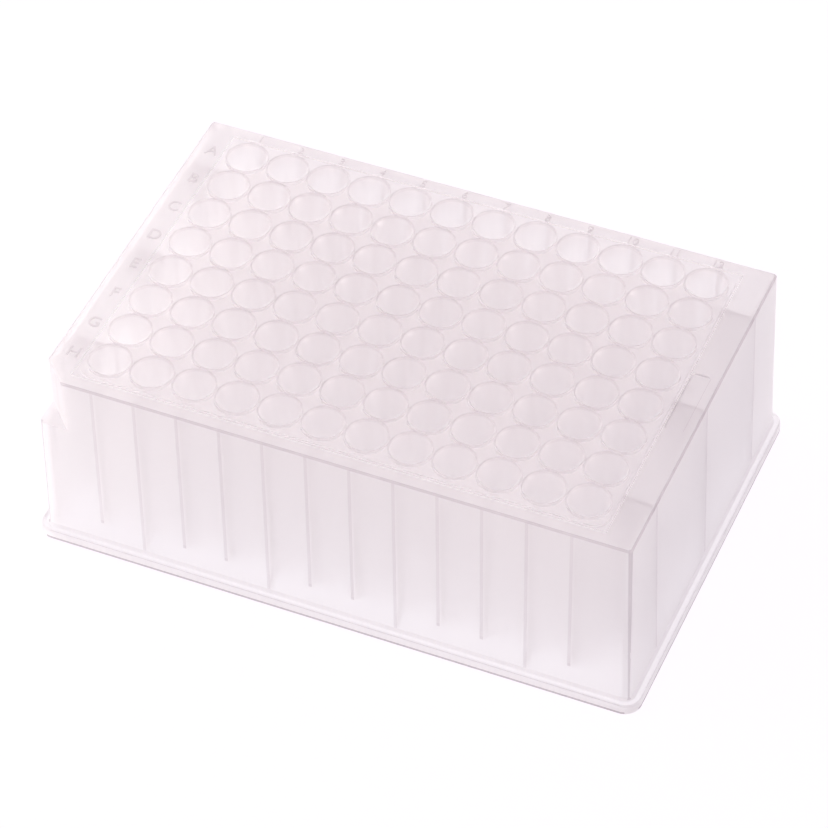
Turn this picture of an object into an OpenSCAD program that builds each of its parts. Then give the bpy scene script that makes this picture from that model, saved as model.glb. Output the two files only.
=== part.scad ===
// Deep-well laboratory plate: 96 round wells moulded in one piece with their deck, skirt and base flange.
// Frame: origin at the centre of the footprint on the base plane, +X towards the last column,
// +Y towards the first row, +Z up. Lengths are in millimetres.

/* [Footprint] */
// Length of the base flange, along a row of wells
foot_len = 127.76; // [120:0.01:155]
// Width of the base flange, along a column of wells
foot_wid = 85.48; // [80:0.01:105]
// Corner radius of the base flange
foot_r = 3.4; // [2.8:0.1:6]
// Height of the flange's outer edge
foot_h = 2.2; // [1.2:0.1:5]
// Break along the flange's upper edge
foot_break = 0.35; // [0.1:0.05:0.8]
// Ledge between the flange's edge and the foot of the skirt
foot_ledge = 1.7; // [1:0.1:2.4]
// Slope where the ledge runs up into the skirt
foot_fillet = 0.5; // [0.2:0.1:1]

/* [Skirt] */
// Overall height, from the base plane to the well rims
plate_h = 43.8; // [30:0.1:60]
// How far each wall leans in between the flange and the deck
skirt_lean = 0.9; // [0.2:0.1:1.4]
// Thickness of the skirt walls
wall_t = 1.2; // [0.8:0.1:2]
// Thickness of the deck
deck_t = 1.3; // [0.8:0.1:2.5]
// Break along the deck's outer edge
deck_break = 0.3; // [0.1:0.05:0.6]
// Radius inside the skirt's vertical corners, at the deck
inner_r = 0.6; // [0.3:0.1:3]

/* [Stacking rebate] */
// Height of the step inside the base that takes another plate's deck
rebate_h = 1.9; // [1:0.1:4]
// Clearance round the deck of the plate below
rebate_clear = 0.3; // [0.1:0.05:0.6]

/* [Wells] */
// Number of columns
n_cols = 12; // [4:1:12]
// Number of rows
n_rows = 8; // [2:1:8]
// Distance between neighbouring well centres
pitch = 9; // [7.5:0.1:9]
// Gap between the tubes of neighbouring wells
tube_gap = 0.1; // [0.05:0.05:1]
// Wall thickness of a tube at its mouth
mouth_t = 0.3; // [0.2:0.05:0.6]
// How much thicker the tube's wall is at its foot
tube_taper = 0.25; // [0.1:0.05:0.5]
// Height of the wells' flat outer bottoms above the base plane
tube_foot = 3.3; // [3:0.1:12]
// Thickness of those bottoms
floor_t = 0.9; // [0.6:0.1:1.5]
// Bevel round the outside of each bottom
foot_bevel = 0.4; // [0.1:0.1:0.8]
// Bevel round the inside of each bottom
floor_bevel = 1.2; // [0.2:0.1:2]
// Height of the rims above the well block
rim_h = 0.75; // [0.2:0.05:2]
// Width of the bevel inside each mouth
mouth_bevel = 0.12; // [0.04:0.02:0.16]

/* [Well block] */
// Height of the raised block above the deck's border
block_h = 0.25; // [0.1:0.05:1]
// Margin of the block outside the outermost tubes
block_margin = 0.7; // [0.2:0.1:1.5]
// Corner radius of the block
block_r = 3; // [1:0.1:6]

/* [Ribs] */
// Thickness of the ribs between the long walls and the tubes
rib_t = 0.8; // [0.6:0.1:1.6]
// Height at which the short ribs leave the wall
rib_end = 7; // [5:0.1:14]
// How far above the wells' bottoms the ribs meet the tubes
rib_rise = 0.7; // [0.5:0.1:2]
// Height at which the long ribs leave the wall
long_rib_end = 2.7; // [2:0.1:3.4]
// First column with a long rib, counted from zero
long_rib_first = 1; // [0:1:3]
// Columns from one long rib to the next
long_rib_step = 3; // [2:1:4]
// Radius of the round pad at the end of each short rib
pad_r = 0.85; // [0.6:0.05:1.2]
// Height of that pad
pad_h = 1.8; // [0.5:0.1:4]
// How far that pad hangs below the rib
pad_drop = 0.3; // [0:0.1:1]
// Thickness of the ribs between the end walls and the tubes
end_rib_t = 0.9; // [0.6:0.1:1.6]
// Height at which the end ribs end
end_rib_end = 3.2; // [2:0.1:8]
// Rows from the middle to the outer end ribs
end_rib_rows = 3; // [1:1:3]
// Thickness of the webs that join neighbouring tubes
web_t = 1.2; // [0.8:0.1:2]
// How far above the wells' bottoms those webs end
web_rise = 4.7; // [1:0.1:20]

/* [Corner notch] */
// Length cut off each deck edge at the notched corner
notch_leg = 5.5; // [2:0.1:8]
// Depth of the notch below the deck
notch_depth = 12.2; // [4:0.1:30]

/* [Label recess] */
// Length of the recess in the end strip
label_len = 16.4; // [6:0.1:40]
// Width of the recess
label_wid = 3.8; // [2:0.1:5]
// Depth of the recess
label_depth = 0.3; // [0.1:0.05:0.6]
// Corner radius of the recess
label_r = 0.9; // [0.3:0.1:1]
// Gap between the well block and the recess
label_gap = 0.75; // [0.3:0.05:1]

/* [Hidden] */
$fn = 64;
eps = 0.02;
bite = 0.4;
over = 6;
deck_z = plate_h - rim_h - block_h;
under_z = deck_z - deck_t;
core_x = foot_len / 2 - foot_r;
core_y = foot_wid / 2 - foot_r;
lean_per_mm = skirt_lean / (deck_z - foot_h);
top_u = foot_r - foot_ledge - skirt_lean;
deck_half_x = core_x + top_u;
deck_half_y = core_y + top_u;
inner_x = deck_half_x - wall_t - inner_r;
inner_y = deck_half_y - wall_t - inner_r;
tube_r = (pitch - tube_gap) / 2;
mouth_r = tube_r - mouth_t;
toe_r = mouth_r - tube_taper;
floor_z = tube_foot + floor_t;
row_half = pitch * (n_cols - 1) / 2;
col_half = pitch * (n_rows - 1) / 2;
block_half_x = row_half + tube_r + block_margin;
block_half_y = col_half + tube_r + block_margin;
label_x = block_half_x + label_gap + label_wid / 2;
notch_z = deck_z - notch_depth;
rib_foot = tube_foot + rib_rise;
web_end = tube_foot + web_rise;

// Distance of the leaning wall's outer face from the corner centres, at height z
function wall_u(z) = top_u + lean_per_mm * (deck_z - z);

// Outer edge of the plate from the base plane up to the deck, as [distance from the corner centres, height]
function outer_edge() = [
    [foot_r, 0],
    [foot_r, foot_h - foot_break],
    [foot_r - foot_break, foot_h],
    [wall_u(foot_h + foot_fillet) + foot_fillet, foot_h],
    [wall_u(foot_h + foot_fillet), foot_h + foot_fillet],
    [wall_u(deck_z - deck_break), deck_z - deck_break],
    [top_u - deck_break, deck_z]
];

// Inside of the skirt from below the base plane up to the deck's underside, measured from inner_x and inner_y
function inner_edge() = [
    [inner_r + lean_per_mm * (deck_z + 1), -1],
    [inner_r + lean_per_mm * deck_t, under_z]
];

// Step inside the base, sized on the deck of the plate below
function rebate_edge() = [
    [top_u + rebate_clear, -1],
    [top_u + rebate_clear, rebate_h]
];

// Mirrored outline of an edge about the middle of the plate, half apart from it
function full_section(edge, half) = concat(
    [for (p = edge) [half + p[0], p[1]]],
    [for (i = [len(edge) - 1 : -1 : 0]) [-half - edge[i][0], edge[i][1]]]
);

// Half outline that a corner is turned from
function corner_section(edge) = concat(
    [[0, edge[0][1]]],
    edge,
    [[0, edge[len(edge) - 1][1]]]
);

// Solid with the given edge all round: straight along both sides, turned at the four corners
module rounded_body(edge, half_x, half_y) {
    rotate([90, 0, 0])
        translate([0, 0, -half_y])
            linear_extrude(2 * half_y)
                polygon(full_section(edge, half_x));
    rotate([90, 0, 90])
        translate([0, 0, -half_x])
            linear_extrude(2 * half_x)
                polygon(full_section(edge, half_y));
    for (c = [[1, 1, 0], [-1, 1, 90], [-1, -1, 180], [1, -1, 270]])
        translate([c[0] * half_x, c[1] * half_y, 0])
            rotate(c[2])
                rotate_extrude(angle = 90)
                    polygon(corner_section(edge));
}

// Flat rectangle with rounded corners
module rounded_rect(half_x, half_y, r) {
    square([2 * (half_x - r), 2 * half_y], center = true);
    square([2 * half_x, 2 * (half_y - r)], center = true);
    for (sx = [-1, 1], sy = [-1, 1])
        translate([sx * (half_x - r), sy * (half_y - r)])
            circle(r);
}

// Space outside the notched corner; grow moves its faces into the plate
module notch_space(grow) {
    leg = notch_leg + grow * sqrt(2);
    translate([-deck_half_x, -deck_half_y, notch_z - grow])
        linear_extrude(notch_depth + grow + over)
            polygon([[-over, -over], [leg + over, -over], [-over, leg + over]]);
}

// Open underside of the skirt, following the wall round the notched corner
module skirt_hollow() {
    difference() {
        rounded_body(inner_edge(), inner_x, inner_y);
        notch_space(wall_t);
    }
    rounded_body(rebate_edge(), core_x, core_y);
}

// Raised block that carries the wells
module well_block() {
    translate([0, 0, deck_z - deck_t / 2])
        linear_extrude(deck_t / 2 + block_h)
            rounded_rect(block_half_x, block_half_y, block_r);
}

// Places its children at every well centre
module at_wells() {
    for (i = [0 : n_cols - 1], j = [0 : n_rows - 1])
        translate([i * pitch - row_half, col_half - j * pitch, 0])
            children();
}

// Outside of one well: straight tube up to the rim, bevelled at its flat bottom
module well_outside() {
    translate([0, 0, tube_foot])
        cylinder(r1 = tube_r - foot_bevel, r2 = tube_r, h = foot_bevel);
    translate([0, 0, tube_foot + foot_bevel])
        cylinder(r = tube_r, h = plate_h - tube_foot - foot_bevel);
}

// Inside of one well: bevelled floor, tapered tube and the bevel at its mouth
module well_inside() {
    translate([0, 0, plate_h - mouth_bevel])
        cylinder(r1 = mouth_r, r2 = mouth_r + 2 * mouth_bevel, h = 2 * mouth_bevel);
    translate([0, 0, floor_z + floor_bevel])
        cylinder(r1 = toe_r, r2 = mouth_r, h = plate_h - mouth_bevel - floor_z - floor_bevel);
    translate([0, 0, floor_z])
        cylinder(r1 = toe_r - floor_bevel, r2 = toe_r, h = floor_bevel);
}

// Upright plate between a long wall and the tube beside it, on a column of wells
module side_rib(x, side, wall_end, foot_end) {
    wall_y = core_y - wall_t / 2;
    tube_y = col_half + tube_r - bite;
    translate([x - rib_t / 2, 0, 0])
        rotate([90, 0, 90])
            linear_extrude(rib_t)
                polygon([
                    [side * tube_y, foot_end],
                    [side * (wall_y + wall_u(wall_end)), wall_end],
                    [side * (wall_y + wall_u(deck_z)), under_z + eps],
                    [side * tube_y, under_z + eps]
                ]);
}

// Round pad where a short rib leaves the wall
module rib_pad(x, side) {
    y = core_y + wall_u(rib_end) - wall_t - pad_r + bite;
    translate([x, side * y, rib_end - pad_drop])
        cylinder(r = pad_r, h = pad_h);
}

// Upright plate between an end wall and the tubes, on the line between two rows; its foot slants
// up from beside the outermost tubes to the far side of them
module end_rib(y, side) {
    wall_x = core_x - wall_t / 2;
    far_x = row_half - pitch / 2;
    translate([0, y + end_rib_t / 2, 0])
        rotate([90, 0, 0])
            linear_extrude(end_rib_t)
                polygon([
                    [side * far_x, end_rib_end + tube_r],
                    [side * (row_half + tube_r), end_rib_end],
                    [side * (wall_x + wall_u(end_rib_end)), end_rib_end],
                    [side * (wall_x + wall_u(deck_z)), under_z + eps],
                    [side * far_x, under_z + eps]
                ]);
}

// Web along a row of wells that joins its tubes where they nearly touch
module row_web(y) {
    translate([-row_half, y - web_t / 2, web_end])
        cube([2 * row_half, web_t, under_z - web_end + eps]);
}

// The same along a column of wells
module column_web(x) {
    translate([x - web_t / 2, -col_half, web_end])
        cube([web_t, 2 * col_half, under_z - web_end + eps]);
}

// All ribs and webs under the deck
module ribs() {
    for (i = [0 : n_cols - 1], side = [-1, 1]) {
        x = i * pitch - row_half;
        if (i % long_rib_step == long_rib_first) {
            side_rib(x, side, long_rib_end, rib_foot);
        } else {
            side_rib(x, side, rib_end, rib_foot);
            rib_pad(x, side);
        }
    }
    for (k = [-end_rib_rows, 0, end_rib_rows], side = [-1, 1])
        end_rib(k * pitch, side);
    for (i = [0 : n_cols - 1])
        column_web(i * pitch - row_half);
    for (j = [0 : n_rows - 1])
        row_web(col_half - j * pitch);
}

// Shallow recess in the strip beside the last column
module label_recess() {
    translate([label_x, 0, deck_z - label_depth])
        linear_extrude(label_depth + over)
            rounded_rect(label_wid / 2, label_len / 2, label_r);
}

// The whole moulding
module well_plate() {
    color([0.93, 0.91, 0.92])
        difference() {
            union() {
                difference() {
                    rounded_body(outer_edge(), core_x, core_y);
                    notch_space(0);
                    skirt_hollow();
                }
                well_block();
                ribs();
                at_wells() well_outside();
            }
            at_wells() well_inside();
            label_recess();
        }
}

well_plate();
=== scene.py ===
"""Looks of a deep-well laboratory plate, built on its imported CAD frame.

The plate is one moulding of natural polypropylene. The frame brings the moulding itself; this
script gives it its milky plastic, adds the raised index marks of its rows and columns, and sets up
the bench, the soft light and the camera. Lengths are written in millimetres and turned into metres
where meshes and objects are placed.
"""

from __future__ import annotations

import logging
import math
from dataclasses import dataclass, field
from enum import Enum

import bmesh
import bpy
from mathutils import Euler, Matrix, Vector

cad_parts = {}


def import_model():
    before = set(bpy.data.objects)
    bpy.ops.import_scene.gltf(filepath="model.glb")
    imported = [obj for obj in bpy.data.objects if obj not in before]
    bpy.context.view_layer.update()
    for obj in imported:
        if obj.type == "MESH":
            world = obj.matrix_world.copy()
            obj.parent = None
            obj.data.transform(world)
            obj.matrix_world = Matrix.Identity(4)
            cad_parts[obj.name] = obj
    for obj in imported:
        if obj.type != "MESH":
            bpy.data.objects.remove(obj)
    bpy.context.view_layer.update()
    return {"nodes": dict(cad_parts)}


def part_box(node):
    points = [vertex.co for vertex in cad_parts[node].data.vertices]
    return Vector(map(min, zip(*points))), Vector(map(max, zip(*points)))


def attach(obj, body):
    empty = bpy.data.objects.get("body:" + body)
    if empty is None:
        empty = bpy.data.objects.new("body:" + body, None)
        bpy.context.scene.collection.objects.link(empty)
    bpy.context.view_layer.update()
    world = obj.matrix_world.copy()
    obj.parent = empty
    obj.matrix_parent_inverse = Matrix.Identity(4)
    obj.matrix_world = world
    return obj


MM = 0.001
NODE_NAME = "well_plate"
BODY_NAME = "root"

log = logging.getLogger("well_plate")

Colour = tuple[float, float, float]
Socket = bpy.types.NodeSocket


class MarkRun(Enum):
    """Which border strip a run of index marks stands on."""

    ROW_LETTERS = "row_letters"
    COLUMN_NUMBERS = "column_numbers"


class ShaderGraph:
    """Short-hand for making and joining the nodes of one material or world."""

    def __init__(self, tree: bpy.types.NodeTree) -> None:
        """Takes an existing tree and empties it.

        Args:
            tree: The node tree to build in.
        """
        self.tree = tree
        tree.nodes.clear()

    def add(self, kind: str, **values: object) -> bpy.types.Node:
        """Adds a node and sets its properties or input sockets.

        Args:
            kind: Blender's name of the node type.
            **values: Property names, or input names with underscores for spaces.

        Returns:
            The new node.
        """
        node = self.tree.nodes.new(kind)
        for name, value in values.items():
            if hasattr(node, name):
                setattr(node, name, value)
            else:
                node.inputs[name.replace("_", " ")].default_value = value
        return node

    def join(self, source: Socket, target: Socket) -> None:
        """Links an output socket to an input socket."""
        self.tree.links.new(source, target)

    def calc(self, operation: str, *terms: Socket | float) -> Socket:
        """Adds a Math node.

        Args:
            operation: Blender's name of the operation.
            *terms: Sockets or plain numbers, in the order of the node's inputs.

        Returns:
            The node's result.
        """
        node = self.add("ShaderNodeMath", operation=operation)
        for term, given in zip(terms, node.inputs):
            if isinstance(term, (int, float)):
                given.default_value = term
            else:
                self.join(term, given)
        return node.outputs[0]

    def both(self, first: Socket, *others: Socket) -> Socket:
        """Keeps the places that lie in all of the given masks.

        Args:
            first: A mask.
            *others: More masks.

        Returns:
            The product of the masks.
        """
        for other in others:
            first = self.calc("MULTIPLY", first, other)
        return first

    def either(self, first: Socket, *others: Socket) -> Socket:
        """Gathers the places that lie in any of the given masks.

        Args:
            first: A mask.
            *others: More masks.

        Returns:
            The largest of the masks at each place.
        """
        for other in others:
            first = self.calc("MAXIMUM", first, other)
        return first

    def blend(self, share: Socket | float, first: Socket, second: Socket) -> Socket:
        """Mixes two shaders.

        Args:
            share: How much of the second, as a socket or a number.
            first: The shader at 0.
            second: The shader at 1.

        Returns:
            The mixed shader.
        """
        node = self.add("ShaderNodeMixShader")
        if isinstance(share, float):
            node.inputs["Fac"].default_value = share
        else:
            self.join(share, node.inputs["Fac"])
        self.join(first, node.inputs[1])
        self.join(second, node.inputs[2])
        return node.outputs["Shader"]

    def tint(self, share: Socket, first: Socket | Colour, second: Socket | Colour) -> Socket:
        """Mixes two colours.

        Args:
            share: How much of the second.
            first: The colour at 0, as a socket or plain values.
            second: The colour at 1, as a socket or plain values.

        Returns:
            The mixed colour.
        """
        node = self.add("ShaderNodeMix", data_type="RGBA")
        self.join(share, node.inputs["Factor"])
        for colour, name in ((first, "A"), (second, "B")):
            if isinstance(colour, tuple):
                node.inputs[name].default_value = (*colour, 1.0)
            else:
                self.join(colour, node.inputs[name])
        return node.outputs["Result"]


class Spot:
    """A point on the moulding, with the tests that masks are made of."""

    def __init__(self, graph: ShaderGraph, place: Socket) -> None:
        """Splits a place into its coordinates.

        Args:
            graph: The graph to build in.
            place: Object coordinates, in metres.
        """
        self.graph = graph
        split = graph.add("ShaderNodeSeparateXYZ")
        graph.join(place, split.inputs[0])
        self.x, self.y, self.z = (split.outputs[axis] for axis in "XYZ")
        self.out_x = graph.calc("ABSOLUTE", self.x)
        self.out_y = graph.calc("ABSOLUTE", self.y)

    def above(self, value: Socket, limit: float) -> Socket:
        """Returns 1 where a length is over a limit given in millimetres, and 0 elsewhere."""
        return self.graph.calc("GREATER_THAN", value, limit * MM)

    def below(self, value: Socket, limit: float) -> Socket:
        """Returns 1 where a length is under a limit given in millimetres, and 0 elsewhere."""
        return self.graph.calc("LESS_THAN", value, limit * MM)

    def every(self, value: Socket, half_step: float, on_middle: bool, half: float) -> Socket:
        """Returns 1 near the ribs of a row, and 0 elsewhere.

        Args:
            value: The place along the row.
            half_step: Half the distance from rib to rib, in millimetres.
            on_middle: True if one rib stands at 0, False if 0 lies halfway between two.
            half: Half the width of the stripes, in millimetres.

        Returns:
            The stripes.
        """
        wave = self.graph.calc("PINGPONG", value, half_step * MM)
        if on_middle:
            return self.below(wave, half)
        return self.above(wave, half_step - half)

    def beyond(self, half_x: float, half_y: float) -> Socket:
        """Returns 1 outside a centred rectangle, whose half sides are given in millimetres."""
        return self.graph.either(self.above(self.out_x, half_x), self.above(self.out_y, half_y))

    def within(self, half_x: float, half_y: float) -> Socket:
        """Returns 1 inside a centred rectangle, whose half sides are given in millimetres."""
        return self.graph.both(self.below(self.out_x, half_x), self.below(self.out_y, half_y))


@dataclass(frozen=True)
class MouldingMap:
    """Finds, from a point's place on the moulding, where shade is painted on its skin as darker
    lines.

    Lengths are in millimetres. Halves are measured from the middle of the plate, and a band is the
    width of a line of painted shade.
    """

    # Wells: their grid, the tubes round them and the rims on top.
    pitch: float = 9.0
    row_half: float = 49.5
    col_half: float = 31.5
    tube_radius: float = 4.45
    tube_margin: float = 1.2
    top_z: float = 43.8
    rim_band: float = 0.72
    # Deck: its edge, the raised block of wells and the label recess.
    deck_z: float = 42.8
    deck_half: tuple[float, float] = (61.28, 40.14)
    block_half: tuple[float, float] = (54.65, 36.65)
    label_half: tuple[float, float] = (1.9, 8.2)
    label_x: float = 57.3
    label_depth: float = 0.3
    edge_band: float = 0.4
    # Skin: how far from a face a point still counts as on it, and the corners' reach.
    skin_gap: float = 0.03
    skin_inset: float = 0.19
    corner_inset: float = 0.65
    # Foot, and how far the skirt leans out for each millimetre down.
    foot_half: tuple[float, float] = (63.88, 42.74)
    foot_z: float = 2.2
    foot_band: float = 0.2
    sole_band: float = 0.5
    lean: float = 0.0222
    outline: float = 0.16
    # Ribs: widths of their lines, the heights where they end, and every how many one is long.
    rib_half: float = 0.34
    bar_half: float = 0.48
    rib_foot: float = 7.0
    long_rib_foot: float = 2.7
    end_rib_foot: float = 3.2
    rib_every: float = 3.0
    rib_tip: float = 0.8
    # Notch of the one cut corner.
    ledge_z: float = 30.6
    ledge_band: float = 0.3
    notch_leg: float = 5.5

    def regions(self, graph: ShaderGraph, place: Socket) -> dict[str, Socket]:
        """Builds the masks: where shade is painted as darker lines, and where the skirt is rougher.

        Args:
            graph: The graph to build in.
            place: Object coordinates.

        Returns:
            A mask by name for each kind of place.
        """
        spot = Spot(graph, place)
        rims = spot.above(spot.z, self.top_z - self.rim_band)
        tubes_end = (self.row_half + self.tube_radius, self.col_half + self.tube_radius)
        skirt = spot.beyond(*(end + self.tube_margin for end in tubes_end))
        return {"painted_shade_lines": graph.either(rims, spot.beyond(*tubes_end)), "rims": rims, "skirt": skirt,
                **self.rib_masks(graph, spot, tubes_end), **self.deck_masks(graph, spot),
                **self.outline_masks(graph, spot)}

    def rib_masks(self, graph: ShaderGraph, spot: Spot,
                  tubes_end: tuple[float, float]) -> dict[str, Socket]:
        """Builds the masks of the ribs between tubes and skirt, where shade is painted as darker
        lines.

        Args:
            graph: The graph to build in.
            spot: The point.
            tubes_end: How far the tubes reach along x and y.

        Returns:
            The ribs and their tips on the outer skin, and the bars of plastic behind it.
        """
        half_step, long_step = self.pitch / 2, self.pitch * self.rib_every / 2
        skin_x, skin_y = (half - self.skin_inset for half in self.deck_half)
        under_deck = spot.below(spot.z, self.deck_z - self.edge_band)
        inside = graph.both(spot.within(skin_x, skin_y), under_deck)
        short = graph.both(spot.every(spot.x, half_step, False, self.rib_half),
                           spot.above(spot.z, self.rib_foot))
        long = graph.both(spot.every(spot.x, long_step, False, self.rib_half),
                          spot.above(spot.z, self.long_rib_foot))
        side = graph.both(spot.above(spot.out_y, skin_y),
                          spot.below(spot.out_x, self.row_half + half_step))
        tips = graph.both(side, graph.calc("SUBTRACT", short, long),
                          spot.below(spot.z, self.rib_foot + self.rib_tip))
        side = graph.both(side, graph.either(short, long))
        end = graph.both(spot.every(spot.y, long_step, True, self.rib_half),
                         spot.above(spot.z, self.end_rib_foot), spot.above(spot.out_x, skin_x))
        side_bars = graph.both(spot.above(spot.out_y, tubes_end[1]),
                               spot.every(spot.x, half_step, False, self.bar_half), inside)
        end_bars = graph.both(spot.above(spot.out_x, tubes_end[0]),
                              spot.every(spot.y, long_step, True, self.bar_half), inside)
        return {"ribs": graph.both(graph.either(side, end), under_deck), "tips": tips,
                "side_bars": side_bars, "end_bars": end_bars}

    def deck_masks(self, graph: ShaderGraph, spot: Spot) -> dict[str, Socket]:
        """Builds the masks of what lies on the deck, where shade is painted as darker lines.

        Args:
            graph: The graph to build in.
            spot: The point.

        Returns:
            The deck's edges, the raised marks and the outline of the label recess.
        """
        brink = spot.beyond(*(half - self.edge_band for half in self.deck_half))
        edges = graph.both(brink, spot.above(spot.z, self.deck_z - self.edge_band))
        off_block = spot.beyond(*(half + self.skin_gap for half in self.block_half))
        marks = graph.both(off_block, spot.above(spot.z, self.deck_z + self.skin_gap))
        sunk = graph.both(spot.above(spot.z, self.deck_z - self.label_depth - self.skin_gap),
                          spot.below(spot.z, self.deck_z - self.skin_gap))
        beside = graph.calc("ABSOLUTE", graph.calc("SUBTRACT", spot.x, self.label_x * MM))
        outer, inner = (graph.both(spot.below(beside, self.label_half[0] + grow),
                                   spot.below(spot.out_y, self.label_half[1] + grow))
                        for grow in (self.skin_gap, -self.outline))
        recess = graph.both(sunk, graph.calc("SUBTRACT", outer, inner))
        return {"edges": edges, "marks": marks, "recess": recess}

    def outline_masks(self, graph: ShaderGraph, spot: Spot) -> dict[str, Socket]:
        """Builds the masks of the skirt's corners, its notch and its foot, where shade is painted
        as darker lines.

        Args:
            graph: The graph to build in.
            spot: The point.

        Returns:
            The upright corners, the notch's ledge, and the upper and lower rim of the foot.
        """
        lean = graph.calc("MULTIPLY_ADD", spot.z, self.lean, -self.deck_z * self.lean * MM)
        corner = graph.both(*(spot.above(graph.calc("ADD", out, lean), half - self.corner_inset)
                              for out, half in zip((spot.out_x, spot.out_y), self.deck_half)),
                            spot.above(spot.z, self.foot_z + self.foot_band))
        past_notch = spot.below(graph.calc("ADD", spot.x, spot.y),
                                self.notch_leg + self.outline - sum(self.deck_half))
        ledge = graph.both(past_notch, spot.above(spot.z, self.ledge_z - self.ledge_band),
                           spot.below(spot.z, self.ledge_z + self.skin_gap))
        rim = spot.beyond(*(half - self.foot_band for half in self.foot_half))
        foot = graph.both(rim, spot.above(spot.z, self.foot_z - self.foot_band))
        sole = graph.both(rim, spot.below(spot.z, self.sole_band))
        return {"corner": corner, "ledge": ledge, "foot": foot, "sole": sole}


@dataclass(frozen=True)
class Grain:
    """Scale and raggedness of a noise in the plastic."""

    scale: float
    detail: float
    roughness: float

    def noise(self, graph: ShaderGraph, place: Socket) -> Socket:
        """Builds the noise.

        Args:
            graph: The graph to build in.
            place: Object coordinates.

        Returns:
            The noise, from 0 to 1.
        """
        node = graph.add("ShaderNodeTexNoise", Scale=self.scale, Detail=self.detail,
                         Roughness=self.roughness)
        graph.join(place, node.inputs["Vector"])
        return node.outputs["Fac"]


@dataclass(frozen=True)
class NaturalPolypropylene:
    """Finish of the moulding: natural, unfilled polypropylene.

    Its skin lets light through in a soft cone, wider on the satin skirt than in the polished wells.
    The plastic takes a little off the light at every pass. Shade is painted in as darker lines at
    the rims, ribs, deck edges, raised marks, label recess, corners, notch and foot.
    """

    tint: Colour = (1.0, 0.9995, 0.9995)
    cloud_tint: Colour = (1.0, 1.0, 1.0)
    # Painted shade: the colour of the darker lines at rims, ribs, edges, marks, corners and foot,
    # and the share of it that each mask takes.
    painted_shade_tint: Colour = (0.55, 0.50, 0.54)
    painted_shade_shares: tuple[tuple[str, float], ...] = (
        ("rims", 0.1), ("ribs", 0.18), ("tips", 0.3), ("side_bars", 0.04), ("end_bars", 0.14),
        ("edges", 0.38), ("marks", 0.17), ("recess", 0.4),
        ("corner", 0.4), ("ledge", 0.12), ("foot", 0.5), ("sole", 0.65),
    )
    milk_share: float = 0.28
    onward_share: float = 0.6
    roughness: float = 0.12
    skirt_roughness: float = 0.4
    roughness_swing: float = 0.02
    refraction: float = 1.49
    skin_bump: float = 0.04
    skin_depth: float = 0.05
    cloud: Grain = Grain(60.0, 2.0, 0.55)
    skin: Grain = Grain(1400.0, 1.0, 0.6)

    def material(self, name: str) -> bpy.types.Material:
        """Builds the plastic.

        Args:
            name: Name of the material.

        Returns:
            The material, with its noise and its painted shade lines on Object coordinates.
        """
        mat = bpy.data.materials.new(name)
        mat.use_nodes = True
        graph = ShaderGraph(mat.node_tree)
        place = graph.add("ShaderNodeTexCoord").outputs["Object"]
        regions = MouldingMap().regions(graph, place)
        cloud = self.cloud.noise(graph, place)
        bump = graph.add("ShaderNodeBump", Strength=self.skin_bump, Distance=self.skin_depth * MM)
        graph.join(self.skin.noise(graph, place), bump.inputs["Height"])
        normal = bump.outputs["Normal"]
        plain, painted_shade_lines = self.colours(graph, cloud, regions)
        well_rough = graph.calc("MULTIPLY_ADD", cloud, 2.0 * self.roughness_swing,
                                self.roughness - self.roughness_swing)
        rough = graph.calc("MULTIPLY_ADD", regions["skirt"], self.skirt_roughness - self.roughness,
                           well_rough)
        # Painted shade: near the rims and outside the block of tubes, the walls take the colour
        # with the darker lines.
        whole = graph.blend(regions["painted_shade_lines"], self.body(graph, plain, well_rough, normal),
                            self.body(graph, painted_shade_lines, rough, normal))
        out = graph.add("ShaderNodeOutputMaterial")
        graph.join(whole, out.inputs["Surface"])
        return mat

    def colours(self, graph: ShaderGraph, cloud: Socket,
                regions: dict[str, Socket]) -> tuple[Socket, Socket]:
        """Builds the colours that light takes on at each pass.

        Args:
            graph: The graph to build in.
            cloud: A soft noise.
            regions: Masks of where shade is painted as darker lines.

        Returns:
            The colour of plain walls, and the colour with its painted shade lines.
        """
        plain = graph.tint(cloud, self.tint, self.cloud_tint)
        # Painted shade: each mask darkens the walls towards the line colour by its share.
        shares = [graph.calc("MULTIPLY", regions[name], strength)
                  for name, strength in self.painted_shade_shares]
        return plain, graph.tint(graph.either(*shares), plain, self.painted_shade_tint)

    def body(self, graph: ShaderGraph, colour: Socket, rough: Socket, normal: Socket) -> Socket:
        """Builds the plastic of one kind of place.

        Args:
            graph: The graph to build in.
            colour: The colour of a pass.
            rough: The skin's roughness.
            normal: The skin's grain.

        Returns:
            The shader: clear plastic with a share of milk.
        """
        through = graph.add("ShaderNodeBsdfRefraction", IOR=self.refraction,
                            distribution="BECKMANN")
        gloss = graph.add("ShaderNodeBsdfGlossy", distribution="MULTI_GGX")
        for part in (through, gloss):
            graph.join(colour, part.inputs["Color"])
            graph.join(rough, part.inputs["Roughness"])
            graph.join(normal, part.inputs["Normal"])
        edge_on = graph.add("ShaderNodeFresnel", IOR=self.refraction)
        clear = graph.blend(edge_on.outputs["Fac"], through.outputs["BSDF"], gloss.outputs["BSDF"])
        return graph.blend(self.milk_share, clear, self.milk(graph, colour))

    def milk(self, graph: ShaderGraph, colour: Socket) -> Socket:
        """Builds the share of the plastic that scatters light, onward and back.

        Args:
            graph: The graph to build in.
            colour: The colour of a pass.

        Returns:
            The shader.
        """
        onward = graph.add("ShaderNodeBsdfTranslucent")
        back = graph.add("ShaderNodeBsdfDiffuse")
        for scatter in (onward, back):
            graph.join(colour, scatter.inputs["Color"])
        return graph.blend(self.onward_share, back.outputs["BSDF"], onward.outputs["BSDF"])


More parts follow.
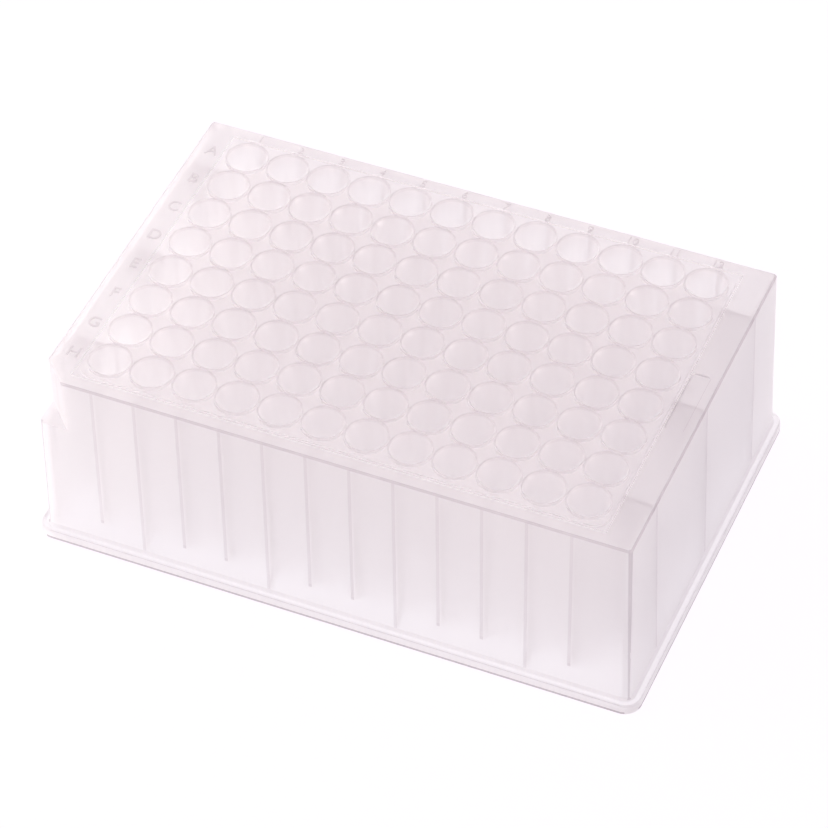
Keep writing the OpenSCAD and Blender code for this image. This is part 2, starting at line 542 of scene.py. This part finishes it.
@dataclass(frozen=True)
class PaleBench:
    """Finish of the bench top: matt, nearly white to the camera, with the plate's shadow kept."""

    tint: Colour = (0.9, 0.9, 0.9)
    glow: Colour = (1.09, 1.04, 1.10)
    glow_share: float = 0.9

    def material(self, name: str) -> bpy.types.Material:
        """Builds the bench top's material.

        Args:
            name: Name of the material.

        Returns:
            A matt surface mixed with plain white for rays that are seen.
        """
        mat = bpy.data.materials.new(name)
        mat.use_nodes = True
        mat.cycles.emission_sampling = "NONE"
        graph = ShaderGraph(mat.node_tree)
        path = graph.add("ShaderNodeLightPath")
        seen = graph.either(*(path.outputs[kind] for kind in
                              ("Is Camera Ray", "Is Glossy Ray", "Is Transmission Ray")))
        matt = graph.add("ShaderNodeBsdfDiffuse", Color=(*self.tint, 1.0))
        white = graph.add("ShaderNodeEmission", Color=(*self.glow, 1.0), Strength=1.0)
        out = graph.add("ShaderNodeOutputMaterial")
        top = graph.blend(graph.calc("MULTIPLY", seen, self.glow_share),
                          matt.outputs[0], white.outputs[0])
        graph.join(top, out.inputs["Surface"])
        return mat


@dataclass
class IndexMarks:
    """Raised letters of the rows and numbers of the columns, on the deck's border strips."""

    finish: bpy.types.Material
    deck_z: float
    pitch: float = 9.0
    rows: str = "ABCDEFGH"
    columns: int = 12
    letter_size: float = 3.9
    number_size: float = 2.6
    relief: float = 0.18
    sink: float = 0.02
    weld: float = 0.001
    letter_x: float = -57.4
    number_y: float = 38.2
    tree: bpy.types.NodeTree | None = field(default=None, init=False)

    def mark_tree(self) -> bpy.types.NodeTree:
        """Builds the node tree that raises one mark.

        Returns:
            A tree whose inputs are the text, its size, its relief, its place and its finish.
        """
        tree = bpy.data.node_groups.new("raised_mark", "GeometryNodeTree")
        face = tree.interface
        face.new_socket("Text", in_out="INPUT", socket_type="NodeSocketString")
        for name in ("Size", "Relief"):
            face.new_socket(name, in_out="INPUT", socket_type="NodeSocketFloat")
        face.new_socket("Place", in_out="INPUT", socket_type="NodeSocketVector")
        face.new_socket("Finish", in_out="INPUT", socket_type="NodeSocketMaterial")
        face.new_socket("Geometry", in_out="OUTPUT", socket_type="NodeSocketGeometry")
        new, link = tree.nodes.new, tree.links.new
        given, result = new("NodeGroupInput"), new("NodeGroupOutput")
        text = new("GeometryNodeStringToCurves")
        text.align_x, text.align_y = "CENTER", "MIDDLE"
        loose = new("GeometryNodeRealizeInstances")
        filled = new("GeometryNodeFillCurve")
        raised = new("GeometryNodeExtrudeMesh")
        underside = new("GeometryNodeFlipFaces")
        closed = new("GeometryNodeJoinGeometry")
        welded = new("GeometryNodeMergeByDistance")
        placed = new("GeometryNodeTransform")
        whole = new("GeometryNodeRealizeInstances")
        dressed = new("GeometryNodeSetMaterial")
        raised.inputs["Individual"].default_value = False
        welded.inputs["Distance"].default_value = self.weld * MM
        link(given.outputs["Text"], text.inputs["String"])
        link(given.outputs["Size"], text.inputs["Size"])
        link(text.outputs["Curve Instances"], loose.inputs["Geometry"])
        link(loose.outputs["Geometry"], filled.inputs["Curve"])
        link(filled.outputs["Mesh"], raised.inputs["Mesh"])
        link(given.outputs["Relief"], raised.inputs["Offset Scale"])
        link(filled.outputs["Mesh"], underside.inputs["Mesh"])
        link(underside.outputs["Mesh"], closed.inputs["Geometry"])
        link(raised.outputs["Mesh"], closed.inputs["Geometry"])
        link(closed.outputs["Geometry"], welded.inputs["Geometry"])
        link(welded.outputs["Geometry"], placed.inputs["Geometry"])
        link(given.outputs["Place"], placed.inputs["Translation"])
        link(placed.outputs["Geometry"], whole.inputs["Geometry"])
        link(whole.outputs["Geometry"], dressed.inputs["Geometry"])
        link(given.outputs["Finish"], dressed.inputs["Material"])
        link(dressed.outputs["Geometry"], result.inputs["Geometry"])
        return tree

    def raise_mark(self, text: str, size: float, place: Vector) -> bpy.types.Mesh:
        """Makes the mesh of one mark.

        Args:
            text: The letter or number.
            size: Type size, in millimetres.
            place: Middle of the mark's foot, in millimetres.

        Returns:
            The mark as a closed mesh in metres.
        """
        carrier = bpy.data.objects.new("mark", bpy.data.meshes.new("mark"))
        bpy.context.scene.collection.objects.link(carrier)
        modifier = carrier.modifiers.new("raised_mark", "NODES")
        modifier.node_group = self.tree
        values = {"Text": text, "Size": size * MM, "Relief": (self.relief + self.sink) * MM,
                  "Place": tuple(place * MM), "Finish": self.finish}
        for item in self.tree.interface.items_tree:
            if item.in_out == "INPUT":
                modifier[item.identifier] = values[item.name]
        graph = bpy.context.evaluated_depsgraph_get()
        mesh = bpy.data.meshes.new_from_object(carrier.evaluated_get(graph))
        bpy.data.objects.remove(carrier)
        return mesh

    def marks(self, run: MarkRun) -> list[tuple[str, float, Vector]]:
        """Lists the marks of one run.

        Args:
            run: Row letters or column numbers.

        Returns:
            Text, size and place of each mark.
        """
        foot = self.deck_z - self.sink
        if run is MarkRun.ROW_LETTERS:
            first = self.pitch * (len(self.rows) - 1) / 2
            return [(letter, self.letter_size,
                     Vector((self.letter_x, first - self.pitch * i, foot)))
                    for i, letter in enumerate(self.rows)]
        first = -self.pitch * (self.columns - 1) / 2
        return [(str(i + 1), self.number_size,
                 Vector((first + self.pitch * i, self.number_y, foot)))
                for i in range(self.columns)]

    def build(self, run: MarkRun) -> bpy.types.Object:
        """Makes one run of marks as one piece that rides on the plate.

        Args:
            run: Row letters or column numbers.

        Returns:
            The finished piece.
        """
        if self.tree is None:
            self.tree = self.mark_tree()
        joined = bmesh.new()
        for text, size, place in self.marks(run):
            mesh = self.raise_mark(text, size, place)
            joined.from_mesh(mesh)
            bpy.data.meshes.remove(mesh)
        mesh = bpy.data.meshes.new(run.value)
        joined.to_mesh(mesh)
        joined.free()
        mesh.materials.append(self.finish)
        piece = bpy.data.objects.new(run.value, mesh)
        bpy.context.scene.collection.objects.link(piece)
        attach(piece, BODY_NAME)
        return piece


@dataclass(frozen=True)
class SoftSky:
    """Surroundings that the camera sees plain white, and that light the plate from one side."""

    bright: Colour = (2.84, 2.67, 2.61)
    dim: Colour = (0.46, 0.365, 0.41)
    seen: Colour = (1.0, 1.0, 1.0)
    gather: float = 1.7
    bright_side: tuple[float, float, float] = (-0.8, 0.1, -0.57)
    opposite: float = -1.0

    def world(self, name: str) -> bpy.types.World:
        """Builds the world.

        Args:
            name: Name of the world.

        Returns:
            The world, white for camera rays and a soft gradient by direction for all others.
        """
        world = bpy.data.worlds.new(name)
        world.use_nodes = True
        world.cycles.sampling_method = "NONE"
        graph = ShaderGraph(world.node_tree)
        place = graph.add("ShaderNodeTexCoord")
        facing = graph.add("ShaderNodeVectorMath", operation="DOT_PRODUCT")
        facing.inputs[1].default_value = Vector(self.bright_side).normalized()
        side = graph.add("ShaderNodeMapRange", interpolation_type="SMOOTHSTEP")
        side.inputs["From Min"].default_value = self.opposite
        path = graph.add("ShaderNodeLightPath")
        light = graph.add("ShaderNodeBackground")
        out = graph.add("ShaderNodeOutputWorld")
        graph.join(place.outputs["Generated"], facing.inputs[0])
        graph.join(facing.outputs["Value"], side.inputs["Value"])
        nearness = graph.calc("POWER", side.outputs["Result"], self.gather)
        gradient = graph.tint(nearness, self.dim, self.bright)
        graph.join(graph.tint(path.outputs["Is Camera Ray"], gradient, self.seen),
                   light.inputs["Color"])
        graph.join(light.outputs["Background"], out.inputs["Surface"])
        return world


@dataclass
class Studio:
    """Bench, soft light and camera round the plate."""

    bench_side: float = 6000.0
    bench_gap: float = 0.01
    sky: SoftSky = field(default_factory=SoftSky)
    camera_azimuth: float = 24.237
    camera_elevation: float = 45.378
    camera_roll: float = -1.564
    camera_distance: float = 799.75
    camera_aim: tuple[float, float, float] = (-2.869, 6.834, 10.54)
    camera_reach: tuple[float, float] = (10.0, 50000.0)
    film_width: float = 36.0
    lens: float = 172.67
    most_passes: int = 96

    def bench(self) -> bpy.types.Object:
        """Makes the bench top, just under the plate.

        Returns:
            The bench top.
        """
        half = self.bench_side * MM / 2
        mesh = bpy.data.meshes.new("bench_top")
        corners = [(-half, -half, 0.0), (half, -half, 0.0), (half, half, 0.0), (-half, half, 0.0)]
        mesh.from_pydata(corners, [], [(0, 1, 2, 3)])
        mesh.transform(Matrix.Translation((0.0, 0.0, -self.bench_gap * MM)))
        mesh.materials.append(PaleBench().material("bench_white"))
        bench = bpy.data.objects.new("bench_top", mesh)
        bpy.context.scene.collection.objects.link(bench)
        return bench

    def camera(self) -> bpy.types.Object:
        """Makes the camera and gives it to the scene.

        Returns:
            The camera.
        """
        azimuth, elevation = math.radians(self.camera_azimuth), math.radians(self.camera_elevation)
        back = Vector((math.sin(azimuth) * math.cos(elevation),
                       -math.cos(azimuth) * math.cos(elevation), math.sin(elevation)))
        data = bpy.data.cameras.new("camera")
        data.sensor_width = self.film_width
        data.lens = self.lens
        data.clip_start, data.clip_end = (reach * MM for reach in self.camera_reach)
        camera = bpy.data.objects.new("camera", data)
        level = Euler((math.radians(90.0 - self.camera_elevation), 0.0, azimuth)).to_matrix()
        turn = Matrix.Rotation(math.radians(self.camera_roll), 3, "Z")
        place = Vector(self.camera_aim) * MM + back * self.camera_distance * MM
        camera.matrix_world = Matrix.Translation(place) @ (level @ turn).to_4x4()
        bpy.context.scene.collection.objects.link(camera)
        bpy.context.scene.camera = camera
        return camera

    def light_paths(self) -> None:
        """Lets light pass through the many thin walls, and keeps the colour transform plain."""
        scene = bpy.context.scene
        scene.view_settings.view_transform = "Standard"
        paths = scene.cycles
        paths.blur_glossy = 0.0
        paths.debug_use_spatial_splits = True
        paths.sampling_pattern = "TABULATED_SOBOL"
        paths.max_bounces = self.most_passes
        paths.diffuse_bounces = self.most_passes
        paths.glossy_bounces = self.most_passes
        paths.transmission_bounces = self.most_passes
        paths.caustics_refractive = True
        paths.caustics_reflective = True

    def build(self) -> None:
        """Makes everything round the plate."""
        bpy.context.scene.world = self.sky.world("soft_surroundings")
        self.bench()
        self.camera()
        self.light_paths()


@dataclass
class WellPlate:
    """The moulding from the frame and the marks that stand on it."""

    node: bpy.types.Object
    finish: NaturalPolypropylene = field(default_factory=NaturalPolypropylene)
    rim_rise: float = 1.0

    def dress(self) -> bpy.types.Material:
        """Gives the moulding its plastic.

        Returns:
            The plastic, for the pieces moulded with it.
        """
        plastic = self.finish.material("natural_polypropylene")
        mesh = self.node.data
        if not mesh.materials:
            mesh.materials.append(plastic)
        for index in range(len(mesh.materials)):
            mesh.materials[index] = plastic
        return plastic

    def build(self) -> list[bpy.types.Object]:
        """Dresses the moulding and adds its index marks.

        Returns:
            The pieces added to the frame.
        """
        plastic = self.dress()
        log.info("piece %s: %d triangles, moulded plastic",
                 self.node.name, len(self.node.data.polygons))
        deck_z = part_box(NODE_NAME)[1][2] / MM - self.rim_rise
        marks = IndexMarks(plastic, deck_z)
        pieces = [marks.build(run) for run in MarkRun]
        for piece in pieces:
            log.info("piece %s: %d faces", piece.name, len(piece.data.polygons))
        return pieces


def corners(bounds: tuple[Vector, Vector]) -> list[list[float]]:
    """Returns a box's two corners as plain lists of numbers."""
    return [[float(v) for v in corner] for corner in bounds]


def main() -> None:
    logging.basicConfig(level=logging.INFO, format="%(name)s: %(message)s")
    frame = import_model()
    WellPlate(frame["nodes"][NODE_NAME]).build()
    Studio().build()


if __name__ == "__main__":
    main()
